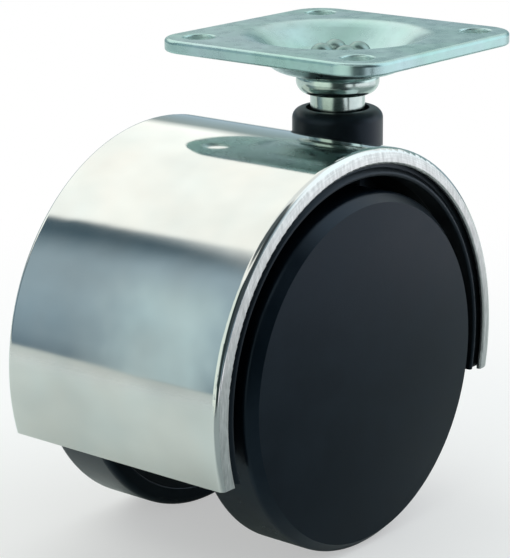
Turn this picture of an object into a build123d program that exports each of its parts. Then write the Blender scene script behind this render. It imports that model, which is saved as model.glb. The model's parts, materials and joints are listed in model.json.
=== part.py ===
"""Hooded twin-wheel chair caster with a screw-on top plate.

Millimetres.  The origin is the centre of the plate's top face, on the swivel axis.
+Z is up, +X points from the axle towards the swivel axis and +Y lies along the axle.
"""
from build123d import *
import os

# ---- driving dimensions -------------------------------------------------------------
# overall layout
wheel_radius = 25.0
trail = 18.4
plate_to_axle = 42.3
running_clearance = 0.05
face_gap = 0.05
cut_overshoot = 1.0

# top plate
plate_side = 38.0
plate_thickness = 1.85
plate_corner_radius = 5.2
plate_top_edge_radius = 0.55
plate_bottom_edge_radius = 0.35
screw_spacing = 28.0
screw_hole_radius = 2.25
screw_hole_round = 0.3
dish_radius = 12.5
dish_floor_radius = 8.0
dish_depth = 3.5
dish_bend_radius = 2.2
dish_wall_thinning = 0.6
dish_join_width = 3.6

# swivel pin
pin_radius = 3.95
pin_spigot_radius = 3.0
pin_flange_radius = 6.0
pin_flange_height = 3.15
pin_flange_top_round = 0.9
pin_flange_round = 1.9
pin_tip_level = -33.0
pin_tip_round = 0.8
head_lobe_count = 4
head_lobe_radius = 1.8
head_lobe_offset = 2.75
head_turn = -37.0
head_offset = (0.22, -0.27)
head_height = 2.3
head_middle_height = 1.2
groove_depth = 0.55
retaining_ring_height = 1.0
retaining_ring_radius = 4.5
retaining_ring_split = 2.0

# housing
collar_radius = 6.55
collar_top_level = -10.6
collar_top_round = 1.5
collar_mouth_radius = 4.6
column_bottom_level = -37.0
column_bottom_round = 1.0
socket_radius = 4.9
sleeve_top_level = -12.2
sleeve_bottom_level = -28.0
thrust_disc_thickness = 1.5
web_half_width = 6.0
web_corner_radius = 1.5
web_front_reach = 23.6
web_overlap = 0.5
web_waist = (-14.0, 3.0)
web_rear_foot = (-23.0, 15.0)
web_rear_height = 22.0
axle_boss_radius = 6.4
axle_boss_half_width = 9.0
fender_outer_radius = 30.0
fender_inner_radius = 28.2
lip_inner_radius = 27.0
lip_foot_radius = 28.2
lip_bead_start = 15.2
lip_bead_slope = 1.0
lip_crest_round = 0.4
lip_inset = 0.1
lip_root_round = 0.3
fender_inner_round = 0.6
fender_end_inset = 0.2
fender_side_gap = 0.3
coring_width = 2.4
coring_length = 12.8
coring_offset = 3.1
coring_position = -16.4

# hood
hood_outer_radius = 31.0
hood_thickness = 0.8
hood_half_width = 19.0
hood_flange_inner_radius = 28.75
hood_fold_radius = 0.85
hood_fold_inner_radius = 0.15
hood_flange_crown_radius = 6.0
hood_edge_round = 0.3
hood_rear_drop = 8.5
hood_front_drop = 6.5
hood_corner_radius = 0.5
hood_front_round = 1.4
hood_round_overshoot = 0.06
hood_collar_clearance = 0.25

# axle and what sits on it
axle_radius = 3.0
axle_half_length = 17.8
axle_chamfer = 0.4
washer_thickness = 0.4
washer_outer_radius = 6.0
axle_ring_thickness = 0.8
axle_ring_outer_radius = 5.2
axle_ring_position = 16.7

# wheels
wheel_inner_face = 9.5
wheel_outer_edge = 19.7
tread_thickness = 2.6
tread_bevel_width = 1.3
tread_bevel_depth = 1.4
tread_bevel_round = 1.1
tread_inner_round = 1.0
tread_bore_round = 0.2
cap_crown = 1.1
cap_thickness = 1.5
cap_skirt_height = 1.6
hub_radius = 6.8
hub_outer_end = 16.5
bush_outer_radius = 4.0
bush_start = 9.6
rim_thickness = 1.8
inner_disc_thickness = 1.8
rib_count = 6
rib_thickness = 1.5
rib_overlap = 0.5

# ---- derived ------------------------------------------------------------------------
dish_underside = -(dish_depth + plate_thickness)
flange_bottom_level = dish_underside - pin_flange_height
groove_top_level = sleeve_bottom_level - face_gap
axle_centre = (-trail, 0, -plate_to_axle)
lip_end = hood_half_width - lip_inset
flange_inside = hood_half_width - hood_thickness
cap_rim_radius = wheel_radius - tread_bevel_width
tread_inner_radius = wheel_radius - tread_thickness
cap_seat = wheel_outer_edge - cap_skirt_height
cap_sphere_radius = (cap_rim_radius**2 + cap_crown**2) / (2 * cap_crown)


# ---- helpers ------------------------------------------------------------------------
def revolve_on_axle(points, radii):
    """Revolve a closed outline of (radius, y) points about the axle, rounding its corners."""
    outline = FilletPolyline(*points, radius=radii, close=True)
    turned = revolve(make_face(outline), Axis.Y)
    return Pos(*axle_centre) * turned


def revolve_on_swivel(points, radii):
    """Revolve a closed outline of (radius, z) points about the swivel axis."""
    outline = Plane.XZ * FilletPolyline(*points, radius=radii, close=True)
    return revolve(make_face(outline), Axis.Z)


def tube_on_axle(inner, outer, start, end):
    """Plain ring round the axle between two positions along it."""
    return revolve_on_axle([(inner, start), (outer, start), (outer, end), (inner, end)], 0)


def cylinder_down(radius, top, bottom):
    """Upright cylinder on the swivel axis between two levels."""
    return Pos(0, 0, (top + bottom) / 2) * Cylinder(radius, top - bottom)


def mirrored_to_right(piece):
    """The same piece on the other side of the caster's middle plane."""
    return mirror(piece, about=Plane.XZ)


# ---- fixed body: plate and pin -------------------------------------------------------
def make_top_plate():
    """Square pressed plate with a central dish and four screw holes."""
    blank = extrude(RectangleRounded(plate_side, plate_side, plate_corner_radius), -plate_thickness)
    blank = fillet(blank.faces().sort_by(Axis.Z)[-1].edges(), plate_top_edge_radius)
    blank = fillet(blank.faces().sort_by(Axis.Z)[0].edges(), plate_bottom_edge_radius)
    screw_holes = GridLocations(screw_spacing, screw_spacing, 2, 2)
    blank -= screw_holes * Cylinder(screw_hole_radius, 4 * plate_thickness)
    blank = fillet(top_hole_edges(blank), screw_hole_round)
    join_radius = dish_radius + dish_join_width
    blank -= cylinder_down(join_radius, plate_thickness, -2 * plate_thickness)
    return blank + make_dish(join_radius)


def top_hole_edges(blank):
    """Upper rims of the screw holes."""
    rims = blank.edges().filter_by(GeomType.CIRCLE).filter_by_position(Axis.Z, 0, 0)
    return [rim for rim in rims if abs(rim.radius - screw_hole_radius) < running_clearance]


def make_dish(join_radius):
    """Pressed dish and the ring of flat plate round it."""
    upper = [
        (pin_spigot_radius, -dish_depth),
        (dish_floor_radius, -dish_depth),
        (dish_radius, 0),
        (join_radius, 0),
    ]
    lower = [
        (join_radius, -plate_thickness),
        (dish_radius + dish_wall_thinning, -plate_thickness),
        (dish_floor_radius + dish_wall_thinning, dish_underside),
        (pin_spigot_radius, dish_underside),
    ]
    inner_bend = dish_bend_radius
    outer_bend = dish_bend_radius + plate_thickness
    dish_radii = [0, inner_bend, outer_bend, 0, 0, inner_bend, outer_bend, 0]
    return revolve_on_swivel(upper + lower, dish_radii)


def make_pin_head():
    """Riveted head of the pin: four domes pressed out round a lower middle."""
    dome_centre = head_height - head_lobe_radius
    dome = Pos(0, 0, dome_centre) * Sphere(head_lobe_radius)
    foot = Pos(0, 0, dome_centre / 2) * Cylinder(head_lobe_radius, dome_centre)
    head = cylinder_down(pin_spigot_radius, head_middle_height, 0)
    for place in PolarLocations(head_lobe_offset, head_lobe_count, head_turn):
        head += place * dome
        head += place * foot
    head -= cylinder_down(dish_floor_radius, 0, -dish_floor_radius)
    return Pos(*head_offset, -dish_depth) * head


def make_swivel_pin():
    """Stepped pin: spigot through the plate, rounded flange, plain shank, ring groove."""
    groove_radius = pin_radius - groove_depth
    groove_bottom = groove_top_level - retaining_ring_height - 2 * face_gap
    outline = [
        (0, -dish_depth),
        (pin_spigot_radius, -dish_depth),
        (pin_spigot_radius, dish_underside),
        (pin_flange_radius, dish_underside),
        (pin_flange_radius, flange_bottom_level),
        (pin_radius, flange_bottom_level),
        (pin_radius, groove_top_level),
        (groove_radius, groove_top_level),
        (groove_radius, groove_bottom),
        (pin_radius, groove_bottom),
        (pin_radius, pin_tip_level),
        (0, pin_tip_level),
    ]
    flange_radii = [pin_flange_top_round, pin_flange_round]
    radii = [0, 0, 0] + flange_radii + [0, 0, 0, 0, 0, pin_tip_round, 0]
    return revolve_on_swivel(outline, radii) + make_pin_head()


def make_retaining_ring():
    """Split spring ring that sits in the pin's groove under the sleeve."""
    top = groove_top_level - face_gap
    bottom = top - retaining_ring_height
    ring = cylinder_down(retaining_ring_radius, top, bottom)
    ring -= cylinder_down(pin_radius - groove_depth + face_gap, top, bottom)
    split_box = Box(retaining_ring_split, 2 * retaining_ring_radius, 4 * retaining_ring_height)
    return ring - Pos(0, retaining_ring_radius, top) * split_box


# ---- swivelling body: housing, hood, axle --------------------------------------------
def end_cutter(clearance):
    """Block below the cut ends of hood and fender: lower at the rear than at the front."""
    size = 4 * wheel_radius
    rear_top = -plate_to_axle - hood_rear_drop + clearance
    front_top = -plate_to_axle - hood_front_drop + clearance
    rear = Pos(-trail - size / 2, 0, rear_top - size / 2) * Box(size, size, size)
    front = Pos(-trail + size / 2, 0, front_top - size / 2) * Box(size, size, size)
    return rear + front


def make_fender():
    """Half-round cover over both wheels, with a sloping lip along each side."""
    side = flange_inside - fender_side_gap
    half = [
        (lip_inner_radius, lip_bead_start),
        (lip_inner_radius, lip_end),
        (lip_foot_radius, side),
        (fender_outer_radius, side),
    ]
    wall = [(fender_inner_radius, lip_bead_start - lip_bead_slope)]
    upper = wall + half
    lower = [(r, -y) for r, y in reversed(upper)]
    half_radii = [fender_inner_round, fender_inner_round, lip_crest_round, lip_root_round, 0]
    shell = revolve_on_axle(upper + lower, half_radii + half_radii[::-1])
    return shell - end_cutter(fender_end_inset)


def make_core():
    """Middle web between the wheels, joining the socket column, the axle boss and the fender."""
    reach = fender_inner_radius + web_overlap
    outline = [
        (web_front_reach, reach),
        (web_front_reach, plate_to_axle + column_bottom_level + column_bottom_round),
        (axle_boss_radius - column_bottom_round, -axle_boss_radius),
        (-axle_boss_radius, -axle_boss_radius + column_bottom_round),
        web_waist,
        web_rear_foot,
        (-reach, web_rear_height),
        (-reach, reach),
    ]
    side_view = Plane.XZ * make_face(FilletPolyline(*outline, radius=web_corner_radius, close=True))
    web = extrude(side_view, web_half_width, both=True)
    web &= revolve(Plane.XY * Pos(reach / 2, 0) * Rectangle(reach, 4 * web_half_width), Axis.Y)
    for side in (-1, 1):
        slot = Box(coring_length, coring_width, coring_length)
        web -= Pos(coring_position, side * coring_offset, 0) * slot
    return Pos(*axle_centre) * web


def make_housing():
    """Moulded body: collar and socket column, web, axle boss and fender."""
    column = cylinder_down(collar_radius, collar_top_level, column_bottom_level)
    column = fillet(column.edges().sort_by(Axis.Z)[-1], collar_top_round)
    column = fillet(column.edges().sort_by(Axis.Z)[0], column_bottom_round)
    boss = tube_on_axle(0, axle_boss_radius, -axle_boss_half_width, axle_boss_half_width)
    housing = make_fender() + make_core() + column + boss
    socket_floor = pin_tip_level - running_clearance - thrust_disc_thickness
    housing -= cylinder_down(socket_radius, sleeve_top_level, socket_floor)
    housing -= cylinder_down(collar_mouth_radius, collar_top_level + cut_overshoot, sleeve_top_level)
    return housing - tube_on_axle(0, axle_radius, -axle_boss_half_width, axle_boss_half_width)


def crowned_rim(outer_radius, half_width, fold_radius, crown_radius):
    """Outline from the hood's cylinder round the fold to the flange's inner edge, as two arcs."""
    crown_centre = (hood_flange_inner_radius, half_width - crown_radius)
    reach = crown_radius - fold_radius
    across = outer_radius - fold_radius - crown_centre[0]
    along = (reach**2 - across**2) ** 0.5
    fold_centre = (crown_centre[0] + across, crown_centre[1] + along)
    meeting = (
        crown_centre[0] + across * crown_radius / reach,
        crown_centre[1] + along * crown_radius / reach,
    )
    fold_start = (outer_radius, fold_centre[1])
    fold = TangentArc(fold_start, meeting, tangent=(0, 1))
    crown = TangentArc((hood_flange_inner_radius, half_width), meeting, tangent=(1, 0))
    return fold_start, fold, crown


def make_hood():
    """Thin sheet hood over the fender, with crowned side flanges turned in and a collar hole."""
    inner_radius = hood_outer_radius - hood_thickness
    inner_crown_radius = hood_flange_crown_radius - hood_thickness
    outer_start, outer_fold, outer_crown = crowned_rim(
        hood_outer_radius, hood_half_width, hood_fold_radius, hood_flange_crown_radius
    )
    inner_start, inner_fold, inner_crown = crowned_rim(
        inner_radius, flange_inside, hood_fold_inner_radius, inner_crown_radius
    )
    outline = [
        Line((hood_outer_radius, 0), outer_start),
        outer_fold,
        outer_crown,
        Line((hood_flange_inner_radius, hood_half_width), (hood_flange_inner_radius, flange_inside)),
        inner_crown,
        inner_fold,
        Line(inner_start, (inner_radius, 0)),
        Line((inner_radius, 0), (hood_outer_radius, 0)),
    ]
    half_profile = make_face(Wire(outline))
    edge_corners = half_profile.vertices().group_by(Axis.X)[0]
    half_profile = fillet(edge_corners, hood_edge_round)
    half = Pos(*axle_centre) * revolve(half_profile, Axis.Y)
    hood = half + mirrored_to_right(half)
    hood -= end_cutter(0)
    hood -= front_corner_cutter()
    for side in (-1, 1):
        hood -= rear_corner_cutter(side)
    return hood - cylinder_down(collar_radius + hood_collar_clearance, collar_top_level, column_bottom_level)


def front_corner_cutter():
    """What rounds off the hood's front end in side view."""
    round_radius = hood_front_round
    centre_z = round_radius - hood_front_drop
    centre_x = (hood_outer_radius**2 - centre_z**2) ** 0.5 + hood_round_overshoot - round_radius
    block = Pos(round_radius, 0, -round_radius) * Box(2 * round_radius, 3 * hood_half_width, 2 * round_radius)
    keep = Rot(90, 0, 0) * Cylinder(round_radius, 4 * hood_half_width)
    return Pos(centre_x - trail, 0, centre_z - plate_to_axle) * (block - keep)


def rear_corner_cutter(side):
    """What rounds off one lower corner of the hood in rear view."""
    round_radius = hood_corner_radius
    centre_y = side * (hood_half_width + hood_round_overshoot - round_radius)
    centre_z = round_radius - hood_rear_drop
    block = Pos(0, side * round_radius, -round_radius) * Box(wheel_radius, 2 * round_radius, 2 * round_radius)
    keep = Rot(0, 90, 0) * Cylinder(round_radius, 2 * wheel_radius)
    return Pos(-hood_outer_radius - trail, centre_y, centre_z - plate_to_axle) * (block - keep)


def make_socket_sleeve():
    """Bearing sleeve pressed into the column; the pin turns in it."""
    sleeve = cylinder_down(socket_radius, sleeve_top_level, sleeve_bottom_level)
    return sleeve - cylinder_down(pin_radius + running_clearance, sleeve_top_level, sleeve_bottom_level)


def make_thrust_disc():
    """Hard disc at the bottom of the socket that carries the pin's tip."""
    top = pin_tip_level - running_clearance
    return cylinder_down(socket_radius, top, top - thrust_disc_thickness)


def make_axle():
    """Plain round axle pressed through the boss."""
    end = axle_half_length
    outline = [(0, -end), (axle_radius, -end), (axle_radius, end), (0, end)]
    return revolve_on_axle(outline, [0, axle_chamfer, axle_chamfer, 0])


def make_thrust_washer_left():
    """Washer between the boss and the wheel's hub."""
    start = axle_boss_half_width
    return tube_on_axle(axle_radius, washer_outer_radius, start, start + washer_thickness)


def make_axle_ring_left():
    """Push-on ring that keeps the wheel on the axle."""
    end = axle_ring_position + axle_ring_thickness
    return tube_on_axle(axle_radius, axle_ring_outer_radius, axle_ring_position, end)


# ---- wheels --------------------------------------------------------------------------
def make_tread_left():
    """Running ring of the wheel, rounded inside and bevelled outside."""
    outline = [
        (tread_inner_radius, wheel_inner_face),
        (wheel_radius, wheel_inner_face),
        (wheel_radius, wheel_outer_edge - tread_bevel_depth),
        (cap_rim_radius, wheel_outer_edge),
        (cap_rim_radius, cap_seat),
        (tread_inner_radius, cap_seat),
    ]
    return revolve_on_axle(outline, [tread_bore_round, tread_inner_round, tread_bevel_round, 0, 0, 0])


def make_wheel_centre_left():
    """Wheel centre: hub, inner disc, ribs and the rim that carries the tread."""
    rim_inner = tread_inner_radius - rim_thickness
    disc_end = wheel_inner_face + inner_disc_thickness
    centre = tube_on_axle(rim_inner, tread_inner_radius, wheel_inner_face, cap_seat)
    centre += tube_on_axle(bush_outer_radius, rim_inner, wheel_inner_face, disc_end)
    centre += tube_on_axle(bush_outer_radius, hub_radius, wheel_inner_face, hub_outer_end)
    rib_length = rim_inner - hub_radius + 2 * rib_overlap
    rib_height = cap_seat - disc_end
    for index in range(rib_count):
        rib = Box(rib_length, rib_height, rib_thickness)
        rib = Pos((rim_inner + hub_radius) / 2, disc_end + rib_height / 2, 0) * rib
        centre += Pos(*axle_centre) * Rot(0, index * 360 / rib_count, 0) * rib
    return centre


def make_hub_bush_left():
    """Plain bush pressed into the hub, running on the axle."""
    inner = axle_radius + running_clearance
    return tube_on_axle(inner, bush_outer_radius, bush_start, hub_outer_end)


def make_wheel_cap_left():
    """Smooth crowned disc that closes the wheel's outer face."""
    sphere_centre = wheel_outer_edge + cap_crown - cap_sphere_radius
    block = tube_on_axle(0, cap_rim_radius, cap_seat, wheel_outer_edge + 2 * cap_crown)
    crown = Pos(-trail, sphere_centre, -plate_to_axle) * Sphere(cap_sphere_radius)
    hollow = Pos(-trail, sphere_centre, -plate_to_axle) * Sphere(cap_sphere_radius - cap_thickness)
    skirt = tube_on_axle(tread_inner_radius - rim_thickness, cap_rim_radius, cap_seat, wheel_outer_edge)
    return (block & crown) - hollow + (skirt & crown)


# ---- write ---------------------------------------------------------------------------
def all_parts():
    """Every node by name."""
    parts = {
        "top_plate": make_top_plate(),
        "swivel_pin": make_swivel_pin(),
        "retaining_ring": make_retaining_ring(),
        "housing": make_housing(),
        "hood": make_hood(),
        "socket_sleeve": make_socket_sleeve(),
        "thrust_disc": make_thrust_disc(),
        "axle": make_axle(),
    }
    left_makers = {
        "thrust_washer": make_thrust_washer_left,
        "axle_ring": make_axle_ring_left,
        "tread": make_tread_left,
        "wheel_centre": make_wheel_centre_left,
        "hub_bush": make_hub_bush_left,
        "wheel_cap": make_wheel_cap_left,
    }
    for name, maker in left_makers.items():
        left = maker()
        parts[name + "_left"] = left
        parts[name + "_right"] = mirrored_to_right(left)
    return parts


os.makedirs("parts", exist_ok=True)
for node, shape in all_parts().items():
    export_step(shape, f"parts/{node}.step")
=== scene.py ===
"""Looks of the hooded twin-wheel chair caster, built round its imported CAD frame.

Metres, in the CAD's own frame: origin on the swivel axis at the plate's top face, +Z up,
+X from the axle towards the swivel axis, +Y along the axle.
"""
import bpy
import bmesh
import json
import math
from mathutils import Matrix, Vector


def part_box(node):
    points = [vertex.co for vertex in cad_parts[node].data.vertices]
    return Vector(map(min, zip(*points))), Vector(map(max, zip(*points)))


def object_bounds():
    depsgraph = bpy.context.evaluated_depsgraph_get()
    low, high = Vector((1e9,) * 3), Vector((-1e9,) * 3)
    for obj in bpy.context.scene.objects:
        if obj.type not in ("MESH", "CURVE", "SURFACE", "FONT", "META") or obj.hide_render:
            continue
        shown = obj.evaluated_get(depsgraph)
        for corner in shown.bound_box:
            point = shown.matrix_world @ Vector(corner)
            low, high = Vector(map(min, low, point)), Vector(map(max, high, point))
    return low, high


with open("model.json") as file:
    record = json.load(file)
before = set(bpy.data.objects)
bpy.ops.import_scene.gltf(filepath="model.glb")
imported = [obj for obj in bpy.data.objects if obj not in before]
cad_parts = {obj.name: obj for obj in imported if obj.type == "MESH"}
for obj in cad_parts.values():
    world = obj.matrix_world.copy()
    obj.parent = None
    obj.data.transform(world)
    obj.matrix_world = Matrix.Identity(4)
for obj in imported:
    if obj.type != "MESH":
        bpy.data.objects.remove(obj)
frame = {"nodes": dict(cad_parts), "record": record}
cad_low, cad_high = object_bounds()
MM = 0.001

# ---- places read from the frame -----------------------------------------------------
hood_low, hood_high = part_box("hood")
axle_low, axle_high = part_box("axle")
axle_centre = (axle_low + axle_high) / 2
floor_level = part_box("tread_left")[0].z
pin_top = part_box("swivel_pin")[1].z
bolts = next(mount["dims"] for mount in frame["record"]["mounts"] if mount["name"] == "plate_bolts")
object_centre = (cad_low + cad_high) / 2

# ---- camera -------------------------------------------------------------------------
VIEW_AZIMUTH = -50.38
VIEW_ELEVATION = 15.63
VIEW_ROLL = -0.408
VIEW_DISTANCE = 315.2 * MM
AIM_OFFSET = Vector((-1.36, 1.92, 0.69)) * MM
FOCAL_LENGTH = 143.85
SENSOR_SIZE = 36.0


def view_frame(azimuth, elevation, roll):
    """Right, up and back directions of a camera that looks from an azimuth and elevation."""
    a, e, r = (math.radians(angle) for angle in (azimuth, elevation, roll))
    back = Vector((math.sin(a) * math.cos(e), -math.cos(a) * math.cos(e), math.sin(e)))
    level_right = Vector((math.cos(a), math.sin(a), 0))
    level_up = back.cross(level_right)
    right = math.cos(r) * level_right + math.sin(r) * level_up
    up = math.cos(r) * level_up - math.sin(r) * level_right
    return right, up, back


def make_camera():
    right, up, back = view_frame(VIEW_AZIMUTH, VIEW_ELEVATION, VIEW_ROLL)
    camera_data = bpy.data.cameras.new("camera")
    camera_data.lens = FOCAL_LENGTH
    camera_data.sensor_width = SENSOR_SIZE
    camera_data.clip_start = 0.01
    camera_data.clip_end = 50
    camera = bpy.data.objects.new("camera", camera_data)
    bpy.context.scene.collection.objects.link(camera)
    place = Matrix((right, up, back)).transposed().to_4x4()
    place.translation = object_centre + AIM_OFFSET + VIEW_DISTANCE * back
    camera.matrix_world = place
    bpy.context.scene.camera = camera


# ---- studio -------------------------------------------------------------------------
# Directions are azimuth (0 along +X, 90 along +Y) and elevation, in degrees. A SPAN is the
# azimuth where something starts, where it ends, and the softness of its edges.
FLOOR_RADIUS = 0.37
FLOOR_FADE = (0.03, 0.18)
FLOOR_LEAST_GLOW = 0.45
FLOOR_WHITE = (0.90, 0.90, 0.90)
MIRRORED_FADE = (0.125, 0.25)
MIRRORED_FLOOR = (0.94, 1.00, 0.98)
# Painted shade: reflections see the floor in front of the caster darker, as if the caster's shade lay on
# it.
MIRRORED_FRONT_SHADE = (0.45, 0.50, 0.51)
MIRRORED_FRONT_SHADE_START = (-0.01, -0.04)
BACKDROP_SPAN = (-35.0, 113.3, 1.5)
DIM_FADE = (34.0, 44.0)
SHADE_RISE = (90.0, 100.0)
SHADE_FADE = (118.0, 129.0)
SIDE_LIGHT_GAP_SPAN = (-160.0, 148.0, 6.0)
FRONT_LIGHT_SPAN = (-66.0, -15.0, 9.0)
FRONT_LIGHT_RISE = (-9.0, -4.0)
FRONT_GLOW_SPAN = (-117.0, -15.0, 4.0)
DARK_SIDE_SPAN = (-160.0, -118.0, 6.0)
SCREEN_SPAN = (-122.0, -76.0, 8.0)
SCREEN_RISE = (-2.0, 6.0)
UPRIGHT_SPAN = (-101.0, -93.0, 2.0)
HORIZON = (-5.2, -4.4)
CEILING_START = (42.0, 49.0)
FRONT_CEILING_SPAN = (-76.0, 125.0, 10.0)
FRONT_CEILING_START = (56.0, 68.0)
REAR_CEILING_START = (52.0, 62.0)
WINDOW_RISE = (0.612, 0.632)
WINDOW_FALL = (0.640, 0.670)
WINDOW_TOP = (24.0, 40.0)
WHITE = (1.62, 1.64, 1.56)
DIM_WHITE = (1.24, 1.28, 1.26)
REAR_CEILING = (0.15, 0.18, 0.19)
WALL = (0.45, 0.59, 0.67)
LOW_WALL = (0.33, 0.44, 0.51)
WALL_FOOT = (0.18, 0.26, 0.32)
BACKDROP_FOOT = (0.41, 0.49, 0.49)
DIM_FOOT = (0.28, 0.43, 0.43)
WINDOW = (0.78, 0.97, 0.99)
SHADE = (0.09, 0.15, 0.19)
SIDE_LIGHT = (1.25, 1.35, 1.22)
FRONT_LIGHT = (1.60, 1.75, 1.85)
FRONT_GLOW = (1.55, 1.48, 1.58)
FLOOR_GLOW = (0.93, 0.99, 1.00)
FLOOR_EDGE = (0.78, 0.86, 0.82)
DARK_SIDE = (0.04, 0.06, 0.06)
SCREEN = (0.07, 0.09, 0.10)
# Colours by elevation.
LOW_BANDS = [(-90, FLOOR_GLOW), (-12, FLOOR_GLOW), (HORIZON[0], FLOOR_EDGE), (HORIZON[1], WALL_FOOT)]
BACKDROP_BANDS = LOW_BANDS + [(0, WALL), (15, BACKDROP_FOOT), (21, WHITE)]
DIM_BANDS = LOW_BANDS + [(0, WALL), (15, DIM_FOOT), (27, DIM_WHITE)]
WALL_BANDS = LOW_BANDS + [(2, LOW_WALL), (20, WALL), (CEILING_START[0], WALL), (CEILING_START[1], WHITE)]


class NodeMath:
    """Short calls for value nodes in one node tree."""

    def __init__(self, tree):
        self.nodes, self.links = tree.nodes, tree.links

    def feed(self, socket, value):
        if isinstance(value, (int, float)):
            socket.default_value = value
        else:
            self.links.new(value, socket)

    def math(self, operation, first, second=0.0):
        node = self.nodes.new("ShaderNodeMath")
        node.operation = operation
        self.feed(node.inputs[0], first)
        self.feed(node.inputs[1], second)
        return node.outputs[0]

    def step(self, value, start, end, low=0.0, high=1.0):
        """Smooth change from low to high as value goes from start to end."""
        node = self.nodes.new("ShaderNodeMapRange")
        node.interpolation_type = "SMOOTHSTEP"
        self.feed(node.inputs["Value"], value)
        for name, number in (("From Min", start), ("From Max", end), ("To Min", low), ("To Max", high)):
            node.inputs[name].default_value = number
        return node.outputs[0]

    def bands(self, sine, rows):
        """Colours by elevation, from the sine of the elevation."""
        ramp = self.nodes.new("ShaderNodeValToRGB")
        self.feed(ramp.inputs[0], self.math("ADD", self.math("MULTIPLY", sine, 0.5), 0.5))
        elements = ramp.color_ramp.elements
        for index, (elevation, colour) in enumerate(rows):
            place = (math.sin(math.radians(elevation)) + 1) / 2
            stop = elements[index] if index < 2 else elements.new(place)
            stop.position = place
            stop.color = (*colour, 1)
        return ramp.outputs[0]

    def mix(self, factor, first, second, blend="MIX"):
        node = self.nodes.new("ShaderNodeMix")
        node.data_type = "RGBA"
        node.blend_type = blend
        self.feed(node.inputs[0], factor)
        for socket, value in ((node.inputs[6], first), (node.inputs[7], second)):
            if isinstance(value, tuple):
                socket.default_value = (*value, 1)
            else:
                self.links.new(value, socket)
        return node.outputs[2]


def make_studio():
    """Soft studio: white backdrop behind, light in front, and a blue-grey room between them."""
    world = bpy.data.worlds.new("studio")
    bpy.context.scene.world = world
    world.use_nodes = True
    tree = world.node_tree
    tree.nodes.clear()
    m = NodeMath(tree)
    direction = tree.nodes.new("ShaderNodeTexCoord")
    split = tree.nodes.new("ShaderNodeSeparateXYZ")
    tree.links.new(direction.outputs["Generated"], split.inputs[0])
    azimuth = m.math("DEGREES", m.math("ARCTAN2", split.outputs["Y"], split.outputs["X"]))
    across, sine = split.outputs["Y"], split.outputs["Z"]

    def span(start, end, softness):
        """1 between two azimuths, with soft edges."""
        begins = m.step(azimuth, start - softness, start + softness)
        ends = m.step(azimuth, end - softness, end + softness, 1, 0)
        return m.math("MULTIPLY", begins, ends)

    def above(limits):
        """0 to 1 over a range of elevations."""
        return m.step(sine, *(math.sin(math.radians(angle)) for angle in limits))

    def other_than(value):
        return m.math("SUBTRACT", 1.0, value)

    below_ceiling = other_than(above(CEILING_START))
    on_wall = m.math("MULTIPLY", above(HORIZON), below_ceiling)
    window = m.math("MULTIPLY", m.step(across, *WINDOW_RISE), m.step(across, *WINDOW_FALL, 1, 0))
    window = m.math("MULTIPLY", window, other_than(above(WINDOW_TOP)))
    shade = m.math("MULTIPLY", m.step(azimuth, *SHADE_FADE, 1, 0), m.step(azimuth, *SHADE_RISE))
    side_light = m.math("MULTIPLY", other_than(span(*SIDE_LIGHT_GAP_SPAN)), below_ceiling)
    dark_side = m.math("MULTIPLY", span(*DARK_SIDE_SPAN), below_ceiling)
    dim = m.step(azimuth, *DIM_FADE, 1, 0)
    front_glow = m.math("MULTIPLY", span(*FRONT_GLOW_SPAN), other_than(above(FRONT_LIGHT_RISE)))
    front_light = m.math("MULTIPLY", span(*FRONT_LIGHT_SPAN), above(FRONT_LIGHT_RISE))
    upright = m.math("MULTIPLY", span(*UPRIGHT_SPAN), below_ceiling)
    screen = m.math("MULTIPLY", span(*SCREEN_SPAN), above(SCREEN_RISE))
    front_ceiling = m.math("MULTIPLY", span(*FRONT_CEILING_SPAN), above(FRONT_CEILING_START))
    rear_ceiling = m.math("MULTIPLY", other_than(span(*FRONT_CEILING_SPAN)), above(REAR_CEILING_START))

    room = m.bands(sine, WALL_BANDS)
    room = m.mix(m.math("MULTIPLY", window, on_wall), room, WINDOW)
    room = m.mix(m.math("MULTIPLY", shade, on_wall), room, SHADE)
    room = m.mix(side_light, room, SIDE_LIGHT)
    room = m.mix(dark_side, room, DARK_SIDE)
    backdrop = m.mix(dim, m.bands(sine, BACKDROP_BANDS), m.bands(sine, DIM_BANDS))
    seen = m.mix(span(*BACKDROP_SPAN), room, backdrop)
    seen = m.mix(front_glow, seen, FRONT_GLOW)
    seen = m.mix(front_light, seen, FRONT_LIGHT)
    seen = m.mix(upright, seen, DARK_SIDE)
    seen = m.mix(screen, seen, SCREEN)
    seen = m.mix(front_ceiling, seen, DIM_WHITE)
    seen = m.mix(rear_ceiling, seen, REAR_CEILING)
    path = tree.nodes.new("ShaderNodeLightPath")
    seen = m.mix(path.outputs["Is Camera Ray"], seen, (1, 1, 1))
    light = tree.nodes.new("ShaderNodeBackground")
    out = tree.nodes.new("ShaderNodeOutputWorld")
    tree.links.new(seen, light.inputs[0])
    tree.links.new(light.outputs[0], out.inputs[0])


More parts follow.
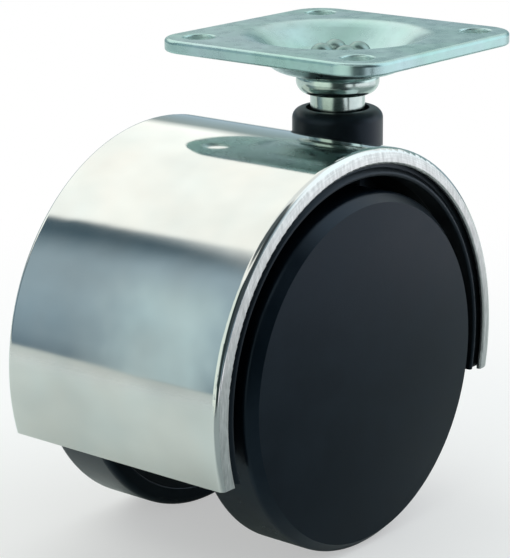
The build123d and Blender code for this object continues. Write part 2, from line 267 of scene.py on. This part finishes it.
def make_floor():
    """Round white floor under the wheels, with painted shade on its front side as reflections see it; the
    studio takes over from it in reflections.
    """
    mesh = bpy.data.meshes.new("floor")
    shape = bmesh.new()
    bmesh.ops.create_circle(shape, cap_ends=True, radius=FLOOR_RADIUS, segments=96)
    shape.to_mesh(mesh)
    shape.free()
    floor = bpy.data.objects.new("floor", mesh)
    floor.location = (object_centre.x, object_centre.y, floor_level)
    bpy.context.scene.collection.objects.link(floor)
    material, nodes, links, surface = new_material("floor")
    m = NodeMath(material.node_tree)
    path = nodes.new("ShaderNodeLightPath")
    is_camera = path.outputs["Is Camera Ray"]
    x, y = object_place(nodes, links)[:2]
    distance = m.math("SQRT", m.math("ADD", m.math("POWER", x, 2), m.math("POWER", y, 2)))
    # Painted shade: for reflected rays the floor's front side (negative y) is darker.
    mirrored = m.mix(m.step(y, *MIRRORED_FRONT_SHADE_START), MIRRORED_FLOOR, MIRRORED_FRONT_SHADE)
    links.new(m.mix(is_camera, mirrored, FLOOR_WHITE), surface.inputs["Base Color"])
    surface.inputs["Roughness"].default_value = 0.9
    surface.inputs["Specular IOR Level"].default_value = 0.1
    glow = nodes.new("ShaderNodeEmission")
    clear = nodes.new("ShaderNodeBsdfTransparent")

    def blend(factor, first, second):
        node = nodes.new("ShaderNodeMixShader")
        links.new(factor, node.inputs[0])
        links.new(first, node.inputs[1])
        links.new(second, node.inputs[2])
        return node.outputs[0]

    glow_share = m.step(distance, *FLOOR_FADE, FLOOR_LEAST_GLOW, 1)
    seen_directly = blend(glow_share, surface.outputs[0], glow.outputs[0])
    reflected = blend(m.step(distance, *MIRRORED_FADE), surface.outputs[0], clear.outputs[0])
    links.new(blend(is_camera, reflected, seen_directly), nodes["Material Output"].inputs[0])
    mesh.materials.append(material)


# ---- material helpers ---------------------------------------------------------------
def new_material(name):
    material = bpy.data.materials.new(name)
    material.use_nodes = True
    nodes, links = material.node_tree.nodes, material.node_tree.links
    return material, nodes, links, nodes["Principled BSDF"]


def object_noise(nodes, links, scale, detail=3.0, roughness=0.55, stretch=(1, 1, 1)):
    """Noise in the object's own metres; scale is in cycles per metre."""
    place = nodes.new("ShaderNodeTexCoord")
    mapping = nodes.new("ShaderNodeMapping")
    mapping.inputs["Scale"].default_value = stretch
    noise = nodes.new("ShaderNodeTexNoise")
    noise.inputs["Scale"].default_value = scale
    noise.inputs["Detail"].default_value = detail
    noise.inputs["Roughness"].default_value = roughness
    links.new(place.outputs["Object"], mapping.inputs[0])
    links.new(mapping.outputs[0], noise.inputs["Vector"])
    return noise.outputs["Fac"]


def object_place(nodes, links):
    """The object's own coordinates, split."""
    place = nodes.new("ShaderNodeTexCoord")
    split = nodes.new("ShaderNodeSeparateXYZ")
    links.new(place.outputs["Object"], split.inputs[0])
    return split.outputs["X"], split.outputs["Y"], split.outputs["Z"]


def remap(nodes, links, value, low, high, start=0.3, end=0.7):
    """Value rescaled from start..end to low..high, clamped."""
    node = nodes.new("ShaderNodeMapRange")
    node.inputs["From Min"].default_value = start
    node.inputs["From Max"].default_value = end
    node.inputs["To Min"].default_value = low
    node.inputs["To Max"].default_value = high
    links.new(value, node.inputs["Value"])
    return node.outputs["Result"]


def two_colours(nodes, links, value, first, second, start=0.35, end=0.65):
    ramp = nodes.new("ShaderNodeValToRGB")
    ramp.color_ramp.elements[0].position = start
    ramp.color_ramp.elements[0].color = (*first, 1)
    ramp.color_ramp.elements[1].position = end
    ramp.color_ramp.elements[1].color = (*second, 1)
    links.new(value, ramp.inputs[0])
    return ramp.outputs[0]


def add_bump(nodes, links, surface, height, depth, strength=1.0):
    """Bump from a 0..1 height, depth in metres."""
    bump = nodes.new("ShaderNodeBump")
    bump.inputs["Strength"].default_value = strength
    bump.inputs["Distance"].default_value = depth
    links.new(height, bump.inputs["Height"])
    links.new(bump.outputs[0], surface.inputs["Normal"])


# ---- materials ----------------------------------------------------------------------
FLANGE_SIDE = hood_high.y - 0.6 * MM
FLANGE_RADIUS = axle_centre.x - hood_low.x - 0.64 * MM
FOLD_BLEND = 0.12 * MM
EDGE_BLEND = 0.1 * MM
HEAD_START = pin_top - 2.35 * MM
SCREW_PLACE = bolts["spacing_x_mm"] / 2 * MM
HOLE_WALL = (bolts["hole_r_mm"] + 0.1) * MM, (bolts["hole_r_mm"] + 0.3) * MM
HOLE_DEPTH = (-0.3 * MM, -0.1 * MM)


def chrome_material():
    """Polished, faintly mottled hood with a brushed finish on its turned-in side flanges."""
    material, nodes, links, surface = new_material("hood_chrome")
    m = NodeMath(material.node_tree)
    cloud = object_noise(nodes, links, 70, 2.5)
    waves = object_noise(nodes, links, 120, 2, 0.45, (1, 0.7, 1))
    tint = two_colours(nodes, links, cloud, (0.535, 0.565, 0.56), (0.575, 0.575, 0.555))
    tint = m.mix(1.0, tint, remap(nodes, links, waves, 0.91, 1.06), "MULTIPLY")
    x, y, z = object_place(nodes, links)
    forward = m.math("SUBTRACT", x, axle_centre.x)
    upward = m.math("SUBTRACT", z, axle_centre.z)
    radius = m.math("SQRT", m.math("ADD", m.math("POWER", forward, 2), m.math("POWER", upward, 2)))
    on_side = m.step(m.math("ABSOLUTE", y), FLANGE_SIDE - EDGE_BLEND, FLANGE_SIDE + EDGE_BLEND)
    inside_fold = m.step(radius, FLANGE_RADIUS - FOLD_BLEND, FLANGE_RADIUS + FOLD_BLEND, 1, 0)
    flange = m.math("MULTIPLY", on_side, inside_fold)
    lines = object_noise(nodes, links, 1, 3, 0.65, (1900, 1900, 420))
    turned = nodes.new("ShaderNodeCombineXYZ")
    links.new(m.math("MULTIPLY", radius, 7000), turned.inputs[0])
    links.new(m.math("MULTIPLY", m.math("ARCTAN2", upward, forward), 9), turned.inputs[1])
    rings = nodes.new("ShaderNodeTexNoise")
    rings.inputs["Scale"].default_value = 1
    rings.inputs["Detail"].default_value = 3
    links.new(turned.outputs[0], rings.inputs["Vector"])
    short_streaks = remap(nodes, links, lines, 0.66, 1.0)
    streaks = m.math("MULTIPLY", short_streaks, remap(nodes, links, rings.outputs[0], 0.78, 1.0))
    brushed = m.mix(1.0, (0.72, 0.72, 0.70), streaks, "MULTIPLY")
    links.new(m.mix(flange, tint, brushed), surface.inputs["Base Color"])
    smooth = remap(nodes, links, cloud, 0.06, 0.10)
    rough = m.math("ADD", smooth, m.math("MULTIPLY", flange, 0.32))
    links.new(rough, surface.inputs["Roughness"])
    surface.inputs["Metallic"].default_value = 1
    scratches = m.math("MULTIPLY", lines, m.math("MULTIPLY", flange, 0.14))
    add_bump(nodes, links, surface, m.math("ADD", waves, scratches), 0.03 * MM)
    return material


def zinc_material():
    """Zinc plate: blurred shine, green and blue clouds, fine rolling marks, and matte hole walls with
    painted light that makes them paler.
    """
    material, nodes, links, surface = new_material("zinc_plate")
    m = NodeMath(material.node_tree)
    cloud = object_noise(nodes, links, 75, 2)
    mottle = object_noise(nodes, links, 420, 4)
    hue = two_colours(nodes, links, cloud, (0.315, 0.49, 0.455), (0.375, 0.50, 0.52))
    shade = remap(nodes, links, mottle, 0.86, 1.06)
    x, y, z = object_place(nodes, links)
    across = m.math("SUBTRACT", m.math("ABSOLUTE", x), SCREW_PLACE)
    along = m.math("SUBTRACT", m.math("ABSOLUTE", y), SCREW_PLACE)
    from_screw = m.math("SQRT", m.math("ADD", m.math("POWER", across, 2), m.math("POWER", along, 2)))
    # Mask of the screw-hole walls below the top face: it adds real roughness and painted light.
    rough_lit_hole_walls = m.math("MULTIPLY", m.step(from_screw, *HOLE_WALL, 1, 0), m.step(z, *HOLE_DEPTH, 1, 0))
    plated = m.mix(1.0, hue, shade, "MULTIPLY")
    # Painted light: a paler colour on the screw-hole walls lifts the shade inside the holes.
    links.new(m.mix(rough_lit_hole_walls, plated, (0.56, 0.71, 0.69)), surface.inputs["Base Color"])
    rough = m.math("ADD", remap(nodes, links, mottle, 0.24, 0.34), m.math("MULTIPLY", rough_lit_hole_walls, 0.3))
    links.new(rough, surface.inputs["Roughness"])
    surface.inputs["Metallic"].default_value = 1
    marks = object_noise(nodes, links, 1, 2, 0.5, (400, 5000, 400))
    add_bump(nodes, links, surface, marks, 0.004 * MM, 0.5)
    return material


def pin_material():
    """Bright turned pin whose riveted head is rougher and carries painted shade, a darker colour."""
    material, nodes, links, surface = new_material("zinc_pin")
    m = NodeMath(material.node_tree)
    cloud = object_noise(nodes, links, 600, 4)
    z = object_place(nodes, links)[2]
    head = m.step(z, HEAD_START - EDGE_BLEND, HEAD_START + EDGE_BLEND)
    bright = two_colours(nodes, links, cloud, (0.38, 0.47, 0.44), (0.46, 0.55, 0.51))
    # Painted shade: the whole riveted head gets a darker colour than the shank.
    painted_shade_head_colour = two_colours(nodes, links, cloud, (0.15, 0.24, 0.23), (0.24, 0.34, 0.32))
    links.new(m.mix(head, bright, painted_shade_head_colour), surface.inputs["Base Color"])
    rough = m.math("ADD", remap(nodes, links, cloud, 0.16, 0.22), m.math("MULTIPLY", head, 0.12))
    links.new(rough, surface.inputs["Roughness"])
    surface.inputs["Metallic"].default_value = 1
    return material


def steel_material(name, dark, light, roughness):
    material, nodes, links, surface = new_material(name)
    cloud = object_noise(nodes, links, 600, 4)
    links.new(two_colours(nodes, links, cloud, dark, light), surface.inputs["Base Color"])
    links.new(remap(nodes, links, cloud, roughness * 0.8, roughness * 1.25), surface.inputs["Roughness"])
    surface.inputs["Metallic"].default_value = 1
    return material


def plastic_material(name, dark, light, roughness, specular=0.35, tint=(1, 1, 1)):
    material, nodes, links, surface = new_material(name)
    surface.inputs["Specular Tint"].default_value = (*tint, 1)
    cloud = object_noise(nodes, links, 220, 3)
    grain = object_noise(nodes, links, 5200, 2)
    links.new(two_colours(nodes, links, cloud, dark, light), surface.inputs["Base Color"])
    links.new(remap(nodes, links, cloud, roughness * 0.9, roughness * 1.1), surface.inputs["Roughness"])
    surface.inputs["Specular IOR Level"].default_value = specular
    add_bump(nodes, links, surface, grain, 0.02 * MM, 0.5)
    return material


def make_materials():
    """One material for each slot of the record."""
    black, black_light = (0.007, 0.009, 0.011), (0.010, 0.012, 0.014)
    wheel, wheel_light = (0.001, 0.003, 0.006), (0.003, 0.006, 0.010)
    cool = (0.55, 0.76, 1.0)
    return {
        "zinc_plate": zinc_material(),
        "zinc_pin": pin_material(),
        "spring_steel": steel_material("spring_steel", (0.30, 0.31, 0.33), (0.40, 0.41, 0.43), 0.35),
        "housing_plastic": plastic_material("housing_plastic", black, black_light, 0.38, 0.25, cool),
        "hood_chrome": chrome_material(),
        "bearing_steel": steel_material("bearing_steel", (0.48, 0.49, 0.51), (0.58, 0.59, 0.61), 0.3),
        "axle_steel": steel_material("axle_steel", (0.50, 0.51, 0.53), (0.60, 0.61, 0.63), 0.22),
        "washer_plastic": plastic_material("washer_plastic", (0.66, 0.65, 0.60), (0.72, 0.71, 0.66), 0.5),
        "tread_plastic": plastic_material("tread_plastic", wheel, wheel_light, 0.30, 0.3, cool),
        "wheel_plastic": plastic_material("wheel_plastic", black, black_light, 0.45, 0.2, cool),
        "bush_plastic": plastic_material("bush_plastic", (0.60, 0.59, 0.55), (0.68, 0.67, 0.62), 0.5),
        "wheel_cap_plastic": plastic_material("wheel_cap_plastic", wheel, wheel_light, 0.38, 0.2, cool),
    }


def dress_cad_nodes(materials):
    """Give every CAD node the material of its slot."""
    for part in frame["record"]["subparts"]:
        node = frame["nodes"][part["node"]]
        for place in node.material_slots:
            place.material = materials[part["material_slot"]]


# ---- make everything ----------------------------------------------------------------
bpy.context.scene.view_settings.view_transform = "Standard"
make_camera()
make_studio()
make_floor()
materials = make_materials()
dress_cad_nodes(materials)
